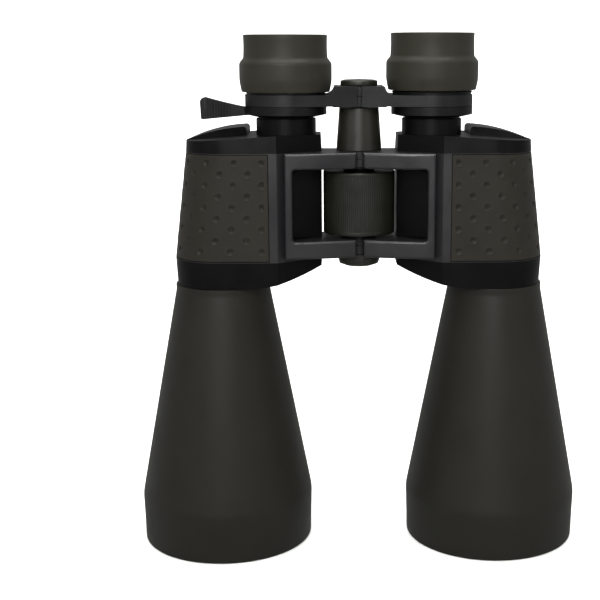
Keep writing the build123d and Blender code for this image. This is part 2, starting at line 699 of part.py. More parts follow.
os.makedirs("parts", exist_ok=True)
for side in SIDES:
    prism_housing(side)
    grip_armour(side)
    upper_cover(side)
    lower_cover(side)
    objective_barrel(side)
    prism_set(side)
    cover_screws(side)
    eyepiece(side)
    bridge_arm(side)
hinge_and_focus()
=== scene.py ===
"""Zoom astronomy binoculars: rubber-armoured cone barrels, prism housings, bridge and wheel.

Every size is in millimetres until a mesh is made, and +Z runs from the hoods to the eyecups.
"""

import json
import logging
import math
from dataclasses import dataclass, field
from enum import Enum

import bmesh
import bpy
import numpy as np
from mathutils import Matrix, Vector


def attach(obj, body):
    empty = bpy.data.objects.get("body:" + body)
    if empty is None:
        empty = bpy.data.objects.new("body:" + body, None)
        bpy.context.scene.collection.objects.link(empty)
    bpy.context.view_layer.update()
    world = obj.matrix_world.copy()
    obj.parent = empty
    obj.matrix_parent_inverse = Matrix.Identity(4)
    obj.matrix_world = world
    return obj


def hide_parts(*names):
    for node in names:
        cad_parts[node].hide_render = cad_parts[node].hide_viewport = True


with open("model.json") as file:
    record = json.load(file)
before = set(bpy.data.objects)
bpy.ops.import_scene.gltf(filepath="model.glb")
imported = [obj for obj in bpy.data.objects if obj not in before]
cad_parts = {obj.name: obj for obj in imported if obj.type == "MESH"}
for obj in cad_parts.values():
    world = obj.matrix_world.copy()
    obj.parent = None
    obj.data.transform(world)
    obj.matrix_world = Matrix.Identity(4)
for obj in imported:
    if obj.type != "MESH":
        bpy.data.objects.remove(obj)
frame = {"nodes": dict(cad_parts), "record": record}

MM = 0.001
FULL_TURN = 2.0 * math.pi
LOG = logging.getLogger("binoculars")

# Sockets of Blender's colour mix, which share their names with its other kinds.
MIX_A, MIX_B, MIX_OUT = 6, 7, 2
# Points closer than this are joined; edges that turn less than FLAT_TURN degrees are dissolved,
# and edges that turn more than EASED_TURN are eased.
JOIN_MM = 0.002
FLAT_TURN = 0.5
EASED_TURN = 40.0
# Edges that turn more than these degrees stay sharp in the shading.
PIECE_CREASE = 38.0
HOUSING_CREASE = 11.0
CREASE = 24.0


# ---- Small tools ---------------------------------------------------------------------------
class Side(Enum):
    """The two halves of the binoculars."""

    LEFT = "left"
    RIGHT = "right"

    @property
    def sign(self) -> float:
        """Direction of this half along X."""
        return -1.0 if self is Side.LEFT else 1.0


def linear_colour(code: str) -> tuple[float, float, float, float]:
    """Turns an sRGB hex code into a linear colour.

    Args:
        code: six hex digits.

    Returns:
        Red, green, blue and an alpha of 1.
    """
    parts = np.array([int(code[i : i + 2], 16) for i in (0, 2, 4)]) / 255.0
    low, high = parts / 12.92, ((parts + 0.055) / 1.055) ** 2.4
    return (*np.where(parts <= 0.04045, low, high).tolist(), 1.0)


def add_node(
    tree: bpy.types.NodeTree,
    kind: str,
    settings: dict[str, object] | None = None,
    links: dict[str, bpy.types.NodeSocket] | None = None,
) -> bpy.types.Node:
    """Adds a shader node, sets it up and links it.

    Args:
        tree: the material's node tree.
        kind: Blender's node type.
        settings: attributes, or input sockets by name, with their values.
        links: input sockets by name, with the output that feeds each.

    Returns:
        The new node.
    """
    node = tree.nodes.new(kind)
    for key, value in (settings or {}).items():
        if hasattr(node, key):
            setattr(node, key, value)
        else:
            node.inputs[key].default_value = value
    for key, source in (links or {}).items():
        tree.links.new(source, node.inputs[key])
    return node


# ---- Finishes ------------------------------------------------------------------------------
@dataclass(frozen=True)
class Finish:
    """An opaque surface: two close colours in soft clouds, a fine grain and uneven gloss."""

    name: str
    colour: str
    shade: str
    roughness: float
    roughness_spread: float = 0.08
    metallic: float = 0.0
    specular: float = 0.5
    coat: float = 0.0
    coat_roughness: float = 0.3
    sheen: float = 0.0
    grain_mm: float = 0.4
    grain_height_mm: float = 0.02
    cloud_mm: float = 18.0
    stretch: tuple[float, float, float] = (1.0, 1.0, 1.0)

    def material(self) -> bpy.types.Material:
        """Returns the finish's material, made on first use."""
        found = bpy.data.materials.get(self.name)
        return found if found else self.make()

    def make(self) -> bpy.types.Material:
        """Builds the node tree.

        Returns:
            The material: noise clouds mix the two colours, a finer noise raises the grain and
            the same clouds vary the gloss.
        """
        material = bpy.data.materials.new(self.name)
        material.use_nodes = True
        tree = material.node_tree
        tree.nodes.clear()
        place = add_node(tree, "ShaderNodeTexCoord").outputs["Object"]
        stretched = add_node(
            tree, "ShaderNodeMapping", {"Scale": self.stretch}, {"Vector": place}
        ).outputs["Vector"]
        clouds = add_node(
            tree,
            "ShaderNodeTexNoise",
            {"Scale": 1.0 / (self.cloud_mm * MM), "Detail": 4.0, "Roughness": 0.6},
            {"Vector": place},
        ).outputs["Fac"]
        grain = add_node(
            tree,
            "ShaderNodeTexNoise",
            {"Scale": 1.0 / (self.grain_mm * MM), "Detail": 2.0, "Roughness": 0.55},
            {"Vector": stretched},
        ).outputs["Fac"]
        colour = add_node(tree, "ShaderNodeMix", {"data_type": "RGBA"}, {"Factor": clouds})
        colour.inputs[MIX_A].default_value = linear_colour(self.shade)
        colour.inputs[MIX_B].default_value = linear_colour(self.colour)
        gloss = add_node(
            tree,
            "ShaderNodeMapRange",
            {
                "From Min": 0.3,
                "From Max": 0.7,
                "To Min": self.roughness - self.roughness_spread,
                "To Max": self.roughness + self.roughness_spread,
            },
            {"Value": clouds},
        ).outputs["Result"]
        bump = add_node(
            tree,
            "ShaderNodeBump",
            {"Strength": 1.0, "Distance": self.grain_height_mm * MM},
            {"Height": grain},
        ).outputs["Normal"]
        shader = add_node(
            tree,
            "ShaderNodeBsdfPrincipled",
            {
                "Metallic": self.metallic,
                "Specular IOR Level": self.specular,
                "Coat Weight": self.coat,
                "Coat Roughness": self.coat_roughness,
                "Sheen Weight": self.sheen,
                "Sheen Roughness": 0.5,
            },
            {"Base Color": colour.outputs[MIX_OUT], "Roughness": gloss, "Normal": bump},
        )
        add_node(
            tree, "ShaderNodeOutputMaterial", links={"Surface": shader.outputs["BSDF"]}
        )
        return material


@dataclass(frozen=True)
class GlassFinish:
    """Polished glass with a thin anti-reflection coating."""

    name: str
    tint: str
    ior: float = 1.52
    film_nm: float = 0.0
    film_ior: float = 1.38
    smear_mm: float = 9.0

    def material(self) -> bpy.types.Material:
        """Returns the glass, made on first use."""
        found = bpy.data.materials.get(self.name)
        return found if found else self.make()

    def make(self) -> bpy.types.Material:
        """Builds the node tree.

        Returns:
            The material: clear glass whose faint smears, a soft noise, dull the polish a little.
        """
        material = bpy.data.materials.new(self.name)
        material.use_nodes = True
        tree = material.node_tree
        tree.nodes.clear()
        place = add_node(tree, "ShaderNodeTexCoord").outputs["Object"]
        smears = add_node(
            tree,
            "ShaderNodeTexNoise",
            {"Scale": 1.0 / (self.smear_mm * MM), "Detail": 3.0},
            {"Vector": place},
        ).outputs["Fac"]
        polish = add_node(
            tree,
            "ShaderNodeMapRange",
            {"From Min": 0.4, "From Max": 0.8, "To Min": 0.01, "To Max": 0.06},
            {"Value": smears},
        ).outputs["Result"]
        shader = add_node(
            tree,
            "ShaderNodeBsdfPrincipled",
            {
                "Base Color": linear_colour(self.tint),
                "IOR": self.ior,
                "Transmission Weight": 1.0,
                "Thin Film Thickness": self.film_nm,
                "Thin Film IOR": self.film_ior,
            },
            {"Roughness": polish},
        )
        add_node(
            tree, "ShaderNodeOutputMaterial", links={"Surface": shader.outputs["BSDF"]}
        )
        return material


# Moulded rubber skin: soft, nearly matt, warm grey-brown with a fine spark-eroded grain.
BARREL_RUBBER = Finish(
    "moulded_rubber_barrel_skin", "1A1914", "151410", 0.5, specular=0.17, sheen=0.02,
    grain_mm=0.45, grain_height_mm=0.018, cloud_mm=26.0,
)
# The grips' rubber is the same mix, a little lighter and duller than the barrels.
GRIP_RUBBER = Finish(
    "moulded_rubber_grip", "201E18", "1A1813", 0.54, specular=0.16, sheen=0.02,
    grain_mm=0.5, grain_height_mm=0.022, cloud_mm=14.0,
)
# Soft eyecup rubber: matt with a faint bloom.
EYECUP_RUBBER = Finish(
    "soft_moulded_rubber_eyecup", "232119", "1D1C15", 0.52, specular=0.22, sheen=0.03,
    grain_mm=0.4, grain_height_mm=0.014, cloud_mm=12.0,
)
# The wheel's rubber tread: darker than the skins and a little glossier.
WHEEL_RUBBER = Finish(
    "moulded_rubber_wheel_tread", "181813", "12120E", 0.4, specular=0.3,
    grain_mm=0.35, grain_height_mm=0.01, cloud_mm=9.0,
)
# Enamel on the sleeve and caps: satin grey-brown with a soft even highlight.
OLIVE_PAINT = Finish(
    "satin_grey_brown_enamel", "201F19", "1A1914", 0.36, specular=0.3, coat=0.05,
    grain_mm=0.3, grain_height_mm=0.006, cloud_mm=10.0,
)
# Powder coat baked on the cast prism housing: satin, slightly violet charcoal, softly pebbled.
HOUSING_COAT = Finish(
    "satin_powder_coat_on_housing_casting", "1A191B", "151416", 0.38, specular=0.46,
    grain_mm=0.35, grain_height_mm=0.012, cloud_mm=16.0,
)
# Black ABS of the covers and tubes: deep black, satin, with a weak shine.
# The same black is also laid on the housing's window walls as painted shade.
COVER_PLASTIC_AND_WINDOW_SHADE = Finish(
    "moulded_black_abs_cover_and_window_shade", "080808", "050505", 0.36, specular=0.12,
    grain_mm=0.3, grain_height_mm=0.008, cloud_mm=14.0,
)
# Zoom rings: moulded black with a finer grain, a little glossier than the covers.
RING_PLASTIC = Finish(
    "moulded_black_acetal_ring", "0A0A0B", "070708", 0.38, specular=0.22,
    grain_mm=0.25, grain_height_mm=0.006, cloud_mm=10.0,
)
# Bridge arms: the housing's powder coat, darkened as painted shade so they sit back from the
# grips.
SHADED_BRIDGE_COAT = Finish(
    "powder_coat_with_painted_shade_on_bridge", "111112", "0D0D0E", 0.4, specular=0.34,
    grain_mm=0.35, grain_height_mm=0.012, cloud_mm=16.0,
)
# Turned aluminium, black anodised: fine rings round the axis read as a soft streak.
BLACK_ALUMINIUM = Finish(
    "black_anodised_turned_aluminium", "111112", "0C0C0D", 0.4, metallic=0.5, specular=0.3,
    grain_mm=0.3, grain_height_mm=0.006, stretch=(0.15, 0.15, 1.0), cloud_mm=12.0,
)
# Blackened steel of screws and hinge pins: dark with a metallic glint.
BLACK_STEEL = Finish(
    "black_oxide_steel", "2A2A2C", "1E1E20", 0.34, metallic=0.85,
    grain_mm=0.2, grain_height_mm=0.004, cloud_mm=5.0,
)
# Brass of the focus spindle: bare turned metal, slightly tarnished.
BRASS = Finish(
    "turned_brass", "B08D4A", "8E6F38", 0.3, metallic=1.0,
    grain_mm=0.25, grain_height_mm=0.005, stretch=(0.2, 0.2, 1.0), cloud_mm=6.0,
)
# Rolled spring steel of the prism straps: bright and streaked along the roll.
SPRING_STEEL = Finish(
    "rolled_spring_steel", "9A9B9D", "808184", 0.3, metallic=1.0,
    grain_mm=0.2, grain_height_mm=0.004, stretch=(1.0, 0.2, 0.2), cloud_mm=6.0,
)
# Outer lenses: faintly green glass under a thin coating, so the objectives read as green.
COATED_GLASS = GlassFinish("polished_coated_optical_glass", "DCEFE4", 1.52, film_nm=82.0)
# Prisms and inner lenses: plain polished glass.
OPTICAL_GLASS = GlassFinish("polished_optical_glass", "F0F4F2", 1.57)
# Seamless paper sweep: pale, dead matt, with a faint tooth.
PAPER = Finish(
    "matt_white_paper_sweep", "F6F6F4", "F1F1EF", 0.9, specular=0.2,
    grain_mm=2.0, grain_height_mm=0.02, cloud_mm=400.0,
)

FINISH_OF_SLOT = {
    "barrel_rubber": BARREL_RUBBER,
    "grip_rubber": GRIP_RUBBER,
    "eyecup_rubber": EYECUP_RUBBER,
    "wheel_rubber": WHEEL_RUBBER,
    "olive_paint": OLIVE_PAINT,
    "housing_black": HOUSING_COAT,
    "cover_plastic": COVER_PLASTIC_AND_WINDOW_SHADE,
    "ring_plastic": RING_PLASTIC,
    "black_aluminium": BLACK_ALUMINIUM,
    "black_steel": BLACK_STEEL,
    "brass": BRASS,
    "spring_steel": SPRING_STEEL,
    "coated_glass": COATED_GLASS,
    "optical_glass": OPTICAL_GLASS,
}


# ---- Meshes --------------------------------------------------------------------------------
def make_piece(name: str, points_mm: np.ndarray, faces: np.ndarray) -> bpy.types.Object:
    """Puts a grid's points and quads into a new smooth object at the origin.

    Args:
        name: the piece's name.
        points_mm: one row per point.
        faces: one row of four point numbers per quad.

    Returns:
        The object.
    """
    mesh = bpy.data.meshes.new(name)
    mesh.vertices.add(len(points_mm))
    mesh.vertices.foreach_set("co", (points_mm * MM).astype(np.float32).ravel())
    mesh.loops.add(faces.size)
    mesh.loops.foreach_set("vertex_index", faces.astype(np.int32).ravel())
    mesh.polygons.add(len(faces))
    mesh.polygons.foreach_set("loop_start", np.arange(len(faces), dtype=np.int32) * 4)
    mesh.update(calc_edges=True)
    mesh.validate()
    mesh.shade_smooth()
    mesh.set_sharp_from_angle(angle=math.radians(PIECE_CREASE))
    piece = bpy.data.objects.new(name, mesh)
    bpy.context.scene.collection.objects.link(piece)
    return piece


def loop_grid(rows: int, columns: int) -> np.ndarray:
    """Quads of a grid that closes on itself both ways, seen from outside.

    Args:
        rows: points round the profile.
        columns: points along the sweep.

    Returns:
        One row of four point numbers per quad.
    """
    row, column = np.meshgrid(np.arange(rows), np.arange(columns), indexing="ij")
    next_row, next_column = (row + 1) % rows, (column + 1) % columns
    corners = [(row, column), (row, next_column), (next_row, next_column), (next_row, column)]
    return np.stack([(r * columns + c).ravel() for r, c in corners], axis=1)


def softened(corners: list[tuple[float, float, float]], steps: int = 6) -> np.ndarray:
    """Rounds the corners of a closed outline.

    Each corner becomes a parabola between two points set back along its sides by the corner's
    own cut, but never by more than 45% of the shorter side.

    Args:
        corners: (radius, height, cut) for each corner, in mm.
        steps: points per corner.

    Returns:
        The outline's points, one row each.
    """
    table = np.array(corners, float)
    spot = table[:, :2]
    before, after = np.roll(spot, 1, axis=0) - spot, np.roll(spot, -1, axis=0) - spot
    span_before = np.linalg.norm(before, axis=1)
    span_after = np.linalg.norm(after, axis=1)
    cut = np.minimum(table[:, 2], 0.45 * np.minimum(span_before, span_after))
    start = spot + before / span_before[:, None] * cut[:, None]
    end = spot + after / span_after[:, None] * cut[:, None]
    share = np.linspace(0.0, 1.0, steps)[None, :, None]
    curve = (
        (1 - share) ** 2 * start[:, None]
        + 2 * share * (1 - share) * spot[:, None]
        + share**2 * end[:, None]
    )
    return curve.reshape(-1, 2)


def turned(
    name: str, outline: np.ndarray, axis_x: float, segments: int = 160
) -> bpy.types.Object:
    """Turns a closed outline round a vertical axis.

    A point at angle a on an outline of (radius, height) is (axis + radius cos a, radius sin a,
    height).

    Args:
        name: the piece's name.
        outline: closed outline, counter-clockwise with radius to the right.
        axis_x: the axis in mm.
        segments: steps round the axis.

    Returns:
        The turned piece.
    """
    angle = np.linspace(0.0, FULL_TURN, segments, endpoint=False)[None, :]
    radius, height = outline[:, :1], outline[:, 1:]
    points = np.stack(
        [axis_x + radius * np.cos(angle), radius * np.sin(angle), height + 0.0 * angle],
        axis=-1,
    )
    return make_piece(name, points.reshape(-1, 3), loop_grid(len(outline), segments))


def counter_clockwise(outline: np.ndarray) -> np.ndarray:
    """Returns the outline in the order whose signed area is positive."""
    x, y = outline[:, 0], outline[:, 1]
    area = np.sum(x * np.roll(y, -1) - np.roll(x, -1) * y)
    return outline if area > 0 else outline[::-1]


def body_of(node: str) -> str:
    """Finds the body that a CAD node rides on."""
    bodies = frame["record"]["behaviour"]["bodies"]
    return next(body for body, nodes in bodies.items() if node in nodes)


def slot_of(node: str) -> str:
    """Finds the material slot that the record gives a CAD node."""
    return next(
        part["material_slot"]
        for part in frame["record"]["subparts"]
        if part["node"] == node
    )


def stand_for(
    piece: bpy.types.Object, node: str, finish: Finish | None = None
) -> bpy.types.Object:
    """Lets a piece take a CAD node's place, body and finish.

    Args:
        piece: the new piece.
        node: the CAD node that it replaces.
        finish: a finish of its own, if it differs from its slot's.

    Returns:
        The same piece.
    """
    slot = slot_of(node)
    piece.data.materials.clear()
    piece.data.materials.append((finish or FINISH_OF_SLOT[slot]).material())
    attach(piece, body_of(node))
    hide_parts(node)
    return piece


def finished_copy(
    node: str,
    name: str,
    edge_mm: float = 0.0,
    crease: float = CREASE,
    finish: Finish | None = None,
) -> bpy.types.Object:
    """Copies a CAD node, joins its loose triangles and shades it smooth, with eased edges.

    Args:
        node: the CAD node.
        name: the copy's name.
        edge_mm: width of the eased edges, 0 for none.
        crease: angle in degrees from which an edge stays sharp.
        finish: a finish of its own, if it differs from its slot's.

    Returns:
        The copy, standing for the node.
    """
    mesh = frame["nodes"][node].data.copy()
    mesh.name = name
    work = bmesh.new()
    work.from_mesh(mesh)
    bmesh.ops.remove_doubles(work, verts=work.verts, dist=JOIN_MM * MM)
    if edge_mm:
        bmesh.ops.dissolve_limit(
            work, angle_limit=math.radians(FLAT_TURN), verts=work.verts, edges=work.edges
        )
    work.to_mesh(mesh)
    work.free()
    mesh.shade_smooth()
    mesh.set_sharp_from_angle(angle=math.radians(crease))
    piece = bpy.data.objects.new(name, mesh)
    bpy.context.scene.collection.objects.link(piece)
    if edge_mm:
        ease = piece.modifiers.new("eased_edges", "BEVEL")
        ease.width = edge_mm * MM
        ease.segments = 2
        ease.limit_method = "ANGLE"
        ease.angle_limit = math.radians(EASED_TURN)
        ease.use_clamp_overlap = True
    weigh = piece.modifiers.new("even_shading", "WEIGHTED_NORMAL")
    weigh.keep_sharp = True
    return stand_for(piece, node, finish)


# ---- Sub-assemblies ------------------------------------------------------------------------
@dataclass
class ObjectiveBarrel:
    """Rubber skin of the cone barrel, over the tube, the doublet and its ring."""

    side: Side
    axis_x: float = 70.4
    segments: int = 200
    skin: list[tuple[float, float, float]] = field(
        default_factory=lambda: [
            (41.25, 0.02, 0.9), (44.3, 0.02, 1.2), (44.98, 25.0, 2.2), (24.2, 134.5, 1.2),
            (24.2, 137.6, 0.2), (22.45, 137.6, 0.2), (22.45, 134.5, 0.5), (43.2, 25.0, 0.5),
            (42.4, 3.0, 0.3), (41.25, 3.0, 0.2),
        ]
    )

    def build(self) -> list[bpy.types.Object]:
        """Builds the rubber skin.

        Returns:
            The skin, standing for the armour solid.
        """
        outline = counter_clockwise(softened(self.skin))
        skin = turned(
            f"{self.side.value}_barrel_rubber_skin",
            outline,
            self.side.sign * self.axis_x,
            self.segments,
        )
        return [stand_for(skin, f"{self.side.value}_objective_armour")]


@dataclass
class HousingPlan:
    """Tapered plan of the prism housing, between its bottom and its top."""

    bottom: float = 151.5
    top: float = 205.7
    front_y: float = -24.5
    back_centre_y: float = 0.5
    outer_x: tuple[float, float] = (94.2, 87.2)
    nose_r: tuple[float, float] = (23.8, 21.0)
    back_r: tuple[float, float] = (33.0, 30.5)

    def surface(
        self, along: np.ndarray, height: np.ndarray, start_x: float
    ) -> tuple[np.ndarray, np.ndarray]:
        """Points of the outer wall and the directions it faces.

        The plan runs along the flat front from the seam, round the nose arc, along the side,
        round the back arc and straight to the back seam; arc sizes change evenly with height.

        Args:
            along: share of the way round, 0 to 5, a whole number per stretch.
            height: Z in mm, on the same grid.
            start_x: the seams' X in mm.

        Returns:
            Points and plan normals, each with a last axis of 3.
        """
        share = (height - self.bottom) / (self.top - self.bottom)
        outer = self.outer_x[0] + (self.outer_x[1] - self.outer_x[0]) * share
        nose = self.nose_r[0] + (self.nose_r[1] - self.nose_r[0]) * share
        back = self.back_r[0] + (self.back_r[1] - self.back_r[0]) * share
        nose_x, nose_y = outer - nose, self.front_y + nose
        back_x = outer - back
        front_t, nose_t, side_t, back_t, end_t = (
            np.clip(along - stretch, 0.0, 1.0) for stretch in range(5)
        )
        x = start_x + (nose_x - start_x) * front_t
        x = x + nose * np.sin(nose_t * math.pi / 2)
        x = x - back * (1 - np.cos(back_t * math.pi / 2))
        x = x - (back_x - start_x) * end_t
        y = self.front_y + nose * (1 - np.cos(nose_t * math.pi / 2))
        y = y + (self.back_centre_y - nose_y) * side_t + back * np.sin(back_t * math.pi / 2)
        turn = (nose_t + back_t) * math.pi / 2
        points = np.stack([x, y, height], axis=-1)
        normals = np.stack([np.sin(turn), -np.cos(turn), 0.0 * turn], axis=-1)
        return points, normals


@dataclass
class GripPad:
    """Rubber panel wrapped round the housing, with staggered round dimples."""

    side: Side
    plan: HousingPlan = field(default_factory=HousingPlan)
    seam_x: float = 45.05
    bottom: float = 151.85
    top: float = 205.35
    thickness: float = 1.5
    lip_r: float = 0.7
    step_mm: float = 0.5
    dimple_r: float = 1.7
    dimple_depth: float = 1.05
    column_pitch: float = 7.3
    row_pitch: float = 11.0
    first_column: float = 3.5
    columns: int = 17
    first_row: float = 157.2
    rows: int = 5
    lip_height: float = 0.1
    runs_mm: tuple[float, ...] = (25.4, 35.2, 2.0, 49.9, 16.2)

    def stations(self) -> np.ndarray:
        """Places round the plan, close together at the seams and evenly spaced between."""
        runs = [
            stretch + np.linspace(0.0, 1.0, max(2, int(length / self.step_mm)), endpoint=False)
            for stretch, length in enumerate(self.runs_mm)
        ]
        return np.concatenate([*runs, [float(len(self.runs_mm))]])

    def hollow(self, along_mm: np.ndarray, height: np.ndarray) -> np.ndarray:
        """Depth of the dimples at each point.

        A dimple is a cosine bowl with a raised lip; the columns stand a pitch apart and every
        other column is half a row higher.

        Args:
            along_mm: distance from the front seam.
            height: Z in mm.

        Returns:
            Depth below the pad's face in mm; the lip is negative.
        """
        column = np.round((along_mm - self.first_column) / self.column_pitch)
        column = np.clip(column, 0, self.columns - 1)
        offset = np.where(np.mod(column, 2) > 0.5, self.row_pitch / 2, 0.0)
        row = np.round((height - self.first_row - offset) / self.row_pitch)
        row = np.clip(row, 0, np.where(offset > 0, self.rows - 2, self.rows - 1))
        from_x = along_mm - self.first_column - column * self.column_pitch
        from_z = height - self.first_row - offset - row * self.row_pitch
        reach = np.hypot(from_x, from_z) / self.dimple_r
        bowl = self.dimple_depth * 0.5 * (1 + np.cos(np.clip(reach, 0, 1) * math.pi))
        lip = self.lip_height * np.exp(-(((reach - 1.2) / 0.22) ** 2))
        return bowl - lip

    def build(self) -> list[bpy.types.Object]:
        """Builds the pad as one closed shell: the face, its rolled edges and a plain back.

        Returns:
            The pad, standing for the grip solid.
        """
        along = self.stations()
        count = int((self.top - self.bottom) / self.step_mm)
        heights = np.linspace(self.bottom, self.top, count)
        face_a, face_z = np.meshgrid(along, heights, indexing="ij")
        points, normals = self.plan.surface(face_a, face_z, self.seam_x)
        middle = points[:, count // 2, :2]
        run = np.concatenate([[0.0], np.cumsum(np.linalg.norm(np.diff(middle, axis=0), axis=1))])
        run_grid = np.broadcast_to(run[:, None], face_a.shape)
        edge = np.minimum.reduce(
            [run_grid, run[-1] - run_grid, face_z - self.bottom, self.top - face_z]
        )
        inside = np.clip(1 - edge / self.lip_r, 0, 1)
        rolled = self.lip_r * (1 - np.sqrt(np.clip(1 - inside**2, 0, 1)))
        depth = rolled + self.hollow(run_grid, face_z) * (edge > self.dimple_r * 1.4)
        face = points - normals * depth[..., None]
        back = points - normals * self.thickness
        faces = self.shell_faces(*face_a.shape)
        shell = np.concatenate([face.reshape(-1, 3), back.reshape(-1, 3)])
        shell[:, 0] *= self.side.sign
        if self.side is Side.LEFT:
            faces = faces[:, ::-1]
        pad = make_piece(f"{self.side.value}_dimpled_grip_pad", shell, faces)
        return [stand_for(pad, f"{self.side.value}_grip_armour")]

    @staticmethod
    def shell_faces(rows: int, columns: int) -> np.ndarray:
        """Quads of a face grid, a back grid and the four strips that join them.

        Args:
            rows: points round the plan.
            columns: points up the height.

        Returns:
            One row of four point numbers per quad, all facing outwards.
        """
        number = np.arange(rows * columns).reshape(rows, columns)
        back = number + rows * columns
        front_quads = np.stack(
            [number[:-1, :-1], number[1:, :-1], number[1:, 1:], number[:-1, 1:]], axis=-1
        ).reshape(-1, 4)
        back_quads = front_quads[:, ::-1] + rows * columns
        rim = np.concatenate(
            [number[:-1, 0], number[-1, :-1], number[:0:-1, -1], number[0, :0:-1]]
        )
        inner = rim + rows * columns
        strip = np.stack([inner, np.roll(inner, -1), np.roll(rim, -1), rim], axis=-1)
        return np.concatenate([front_quads, back_quads, strip])


@dataclass
class PrismHousing:
    """Housing with its window frame, and the two covers."""

    side: Side
    cover_edge: float = 0.5
    window_x: float = 33.2
    window_y: tuple[float, float] = (-19.6, 14.0)
    window_z: tuple[float, float] = (161.0, 198.8)
    level_cosine: float = 0.7

    def paint_window_shade(self, housing: bpy.types.Object) -> None:
        """Paints shade on the walls inside the finger window, in the covers' deep black.

        Args:
            housing: the housing's finished copy.
        """
        mesh = housing.data
        # Painted shade: the covers' black goes on the window's walls, where little light reaches.
        mesh.materials.append(COVER_PLASTIC_AND_WINDOW_SHADE.material())
        count = len(mesh.polygons)
        centre, facing = np.empty(count * 3), np.empty(count * 3)
        mesh.polygons.foreach_get("center", centre)
        mesh.polygons.foreach_get("normal", facing)
        x, y, z = centre.reshape(-1, 3).T / MM
        # Faces of the window's upright walls, which take the painted shade.
        inside = (np.abs(x) < self.window_x) & (y > self.window_y[0]) & (y < self.window_y[1])
        inside &= (z > self.window_z[0]) & (z < self.window_z[1])
        inside &= np.abs(facing.reshape(-1, 3)[:, 2]) < self.level_cosine
        mesh.polygons.foreach_set("material_index", inside.astype(np.int32))

    def build(self) -> list[bpy.types.Object]:
        """Finishes the housing and both covers.

        Returns:
            The finished copies.
        """
        name = self.side.value
        housing = finished_copy(
            f"{name}_prism_housing", f"{name}_cast_housing", crease=HOUSING_CREASE
        )
        # The window's inner walls get painted shade in the covers' black.
        self.paint_window_shade(housing)
        return [
            housing,
            finished_copy(
                f"{name}_upper_cover", f"{name}_eyepiece_end_cover", self.cover_edge
            ),
            finished_copy(
                f"{name}_lower_cover", f"{name}_objective_end_cover", self.cover_edge
            ),
        ]


@dataclass
class Eyepiece:
    """Eyecup, tubes, zoom ring and bridge arm of one side."""

    side: Side
    axis_x: float = 36.8
    lift_right: float = 1.0
    cup: list[tuple[float, float, float]] = field(
        default_factory=lambda: [
            (20.35, 234.65, 0.2), (22.1, 234.65, 0.7), (23.18, 240.0, 1.6), (23.18, 248.9, 1.1),
            (21.1, 251.4, 0.7), (20.8, 257.0, 3.0), (20.98, 262.8, 0.8), (19.4, 262.8, 0.7),
            (19.0, 257.0, 2.0), (19.0, 251.4, 0.6), (17.2, 251.2, 0.3), (17.2, 250.35, 0.1),
            (20.35, 250.35, 0.1),
        ]
    )

    def build(self) -> list[bpy.types.Object]:
        """Builds the eyecup and finishes the turned and moulded parts round it.

        Returns:
            The pieces.
        """
        name = self.side.value
        lift = self.lift_right if self.side is Side.RIGHT else 0.0
        outline = counter_clockwise(softened(self.cup))
        cup = turned(
            f"{name}_rubber_eyecup", outline + [0.0, lift], self.side.sign * self.axis_x, 180
        )
        return [
            stand_for(cup, f"{name}_eyecup"),
            # The arms take the darker copy of the housing's coat: painted shade.
            finished_copy(
                f"{name}_bridge_arm", f"{name}_cast_bridge_arm", finish=SHADED_BRIDGE_COAT
            ),
            finished_copy(f"{name}_zoom_ring", f"{name}_moulded_zoom_ring"),
            finished_copy(f"{name}_guide_tube", f"{name}_moulded_guide_tube"),
            finished_copy(f"{name}_ocular_tube", f"{name}_turned_ocular_tube"),
            finished_copy(f"{name}_eyepiece_head", f"{name}_turned_eyepiece_head"),
        ]


@dataclass
class FocusWheel:
    """Centre wheel with a finely ribbed rubber tread."""

    inner_r: float = 16.65
    outer_r: float = 18.25
    bottom: float = 163.52
    top: float = 195.38
    ribs: int = 112
    steps_per_rib: int = 5
    rib_depth: float = 0.13
    smooth_lip: float = 2.0

    def build(self) -> list[bpy.types.Object]:
        """Builds the tread.

        The outer wall's radius falls by the rib depth times a raised cosine of the angle, and
        the ribs fade out towards the smooth lips at both ends.

        Returns:
            The tread, standing for the grip solid.
        """
        outline = softened(
            [
                (self.inner_r, self.bottom, 0.1), (self.outer_r, self.bottom, 0.6),
                (self.outer_r, self.bottom + self.smooth_lip, 0.3),
                (self.outer_r, self.top - self.smooth_lip, 0.3),
                (self.outer_r, self.top, 0.6), (self.inner_r, self.top, 0.1),
            ]
        )
        outline = counter_clockwise(outline)
        segments = self.ribs * self.steps_per_rib
        angle = np.linspace(0.0, FULL_TURN, segments, endpoint=False)[None, :]
        radius, height = outline[:, :1], outline[:, 1:]
        from_end = np.minimum(height - self.bottom, self.top - height)
        fade = np.clip((from_end - self.smooth_lip * 0.8) / (self.smooth_lip * 0.25), 0, 1)
        fade = fade * (radius > self.outer_r - 0.5)
        wave = 0.5 * (1 - np.cos(angle * self.ribs))
        ribbed = radius - self.rib_depth * fade * wave**0.7
        points = np.stack(
            [ribbed * np.cos(angle), ribbed * np.sin(angle), height + 0.0 * angle], axis=-1
        )
        tread = make_piece(
            "focus_wheel_ribbed_tread", points.reshape(-1, 3), loop_grid(len(outline), segments)
        )
        return [
            stand_for(tread, "focus_wheel_grip"),
            finished_copy("focus_wheel_core", "focus_wheel_turned_core"),
        ]


@dataclass
class HingeLine:
    """Sleeve, caps and pins on the hinge axis."""

    copies: dict[str, str] = field(
        default_factory=lambda: {
            "cone_sleeve": "painted_cone_sleeve",
            "bridge_cap": "painted_bridge_cap",
            "tripod_cap": "painted_tripod_cap",
            "hinge_axle": "turned_hinge_axle",
            "focus_spindle": "turned_focus_spindle",
        }
    )

    def build(self) -> list[bpy.types.Object]:
        """Returns finished copies of the turned parts."""
        return [finished_copy(node, name) for node, name in self.copies.items()]


